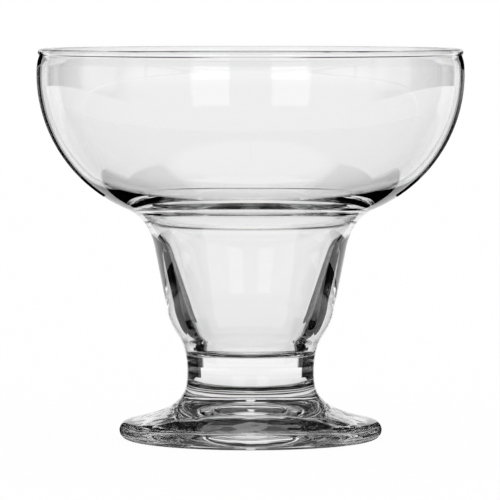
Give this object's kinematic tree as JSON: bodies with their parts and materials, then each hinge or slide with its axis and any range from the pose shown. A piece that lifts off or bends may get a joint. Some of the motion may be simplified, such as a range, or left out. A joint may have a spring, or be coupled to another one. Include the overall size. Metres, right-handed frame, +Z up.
{
  "type": "sundae glass",
  "caption": "Clear footed sundae glass: a wide round bowl stepping into a deep tapered well on a short solid stem and flared foot; holds ice cream and sauces.",
  "frame": {"origin": "on the table, under the centre of the foot", "axes": "+Z up along the glass's axis, towards the open rim; X and Y are any two level directions, because the glass is round"},
  "size_m": [0.1176, 0.1176, 0.1074],
  "materials": {
    "bowl_glass": "clear soda-lime glass, fire polished",
    "stem_glass": "clear soda-lime glass, fire polished",
    "foot_glass": "clear soda-lime glass, pressed"
  },
  "bodies": {
    "root": {"bowl": "bowl_glass", "stem": "stem_glass", "foot": "foot_glass"}
  },
  "joints": []
}
